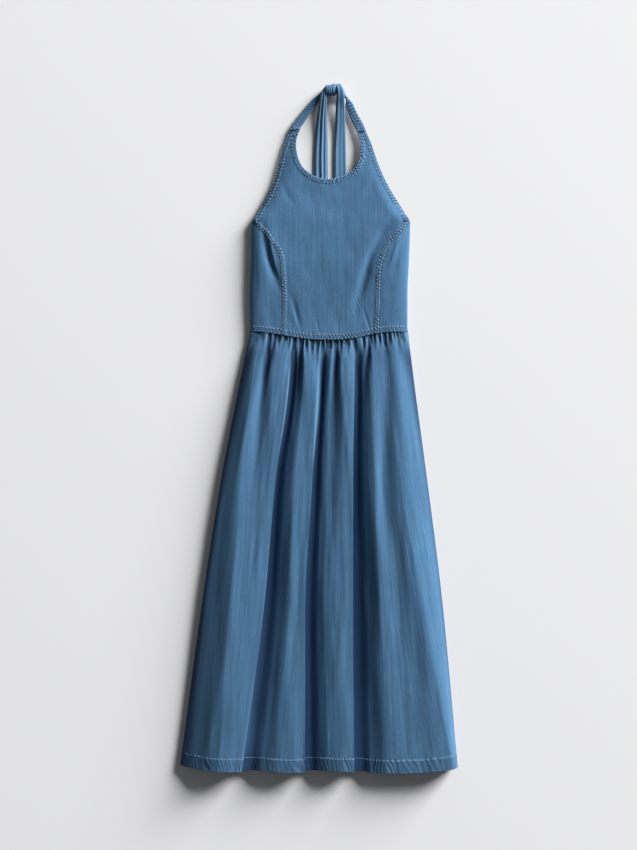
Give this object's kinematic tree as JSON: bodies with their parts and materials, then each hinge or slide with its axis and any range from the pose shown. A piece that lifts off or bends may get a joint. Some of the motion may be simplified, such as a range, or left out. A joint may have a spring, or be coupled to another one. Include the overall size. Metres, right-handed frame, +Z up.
{
  "type": "halter dress",
  "caption": "Sleeveless halter-neck midi dress in light denim, laid flat, with a knotted neck tie, a fitted bodice and a gathered A-line skirt.",
  "frame": {"origin": "middle of the dress's footprint, on the surface it lies on", "axes": "+X across the dress to the right as seen from the front, +Y from the hem to the neck, +Z up from the surface, out of the front of the dress"},
  "size_m": [0.5273, 1.3059, 0.0377],
  "materials": {
    "denim": "soft washed twill, matt"
  },
  "bodies": {
    "root": {"bodice_front_centre": "denim", "bodice_front_side_left": "denim", "bodice_front_side_right": "denim", "bodice_back": "denim", "skirt_front": "denim", "skirt_back": "denim", "strap_left": "denim", "strap_right": "denim", "knot_core": "denim", "knot_wrap": "denim", "tie_end_left": "denim", "tie_end_right": "denim"}
  },
  "joints": []
}
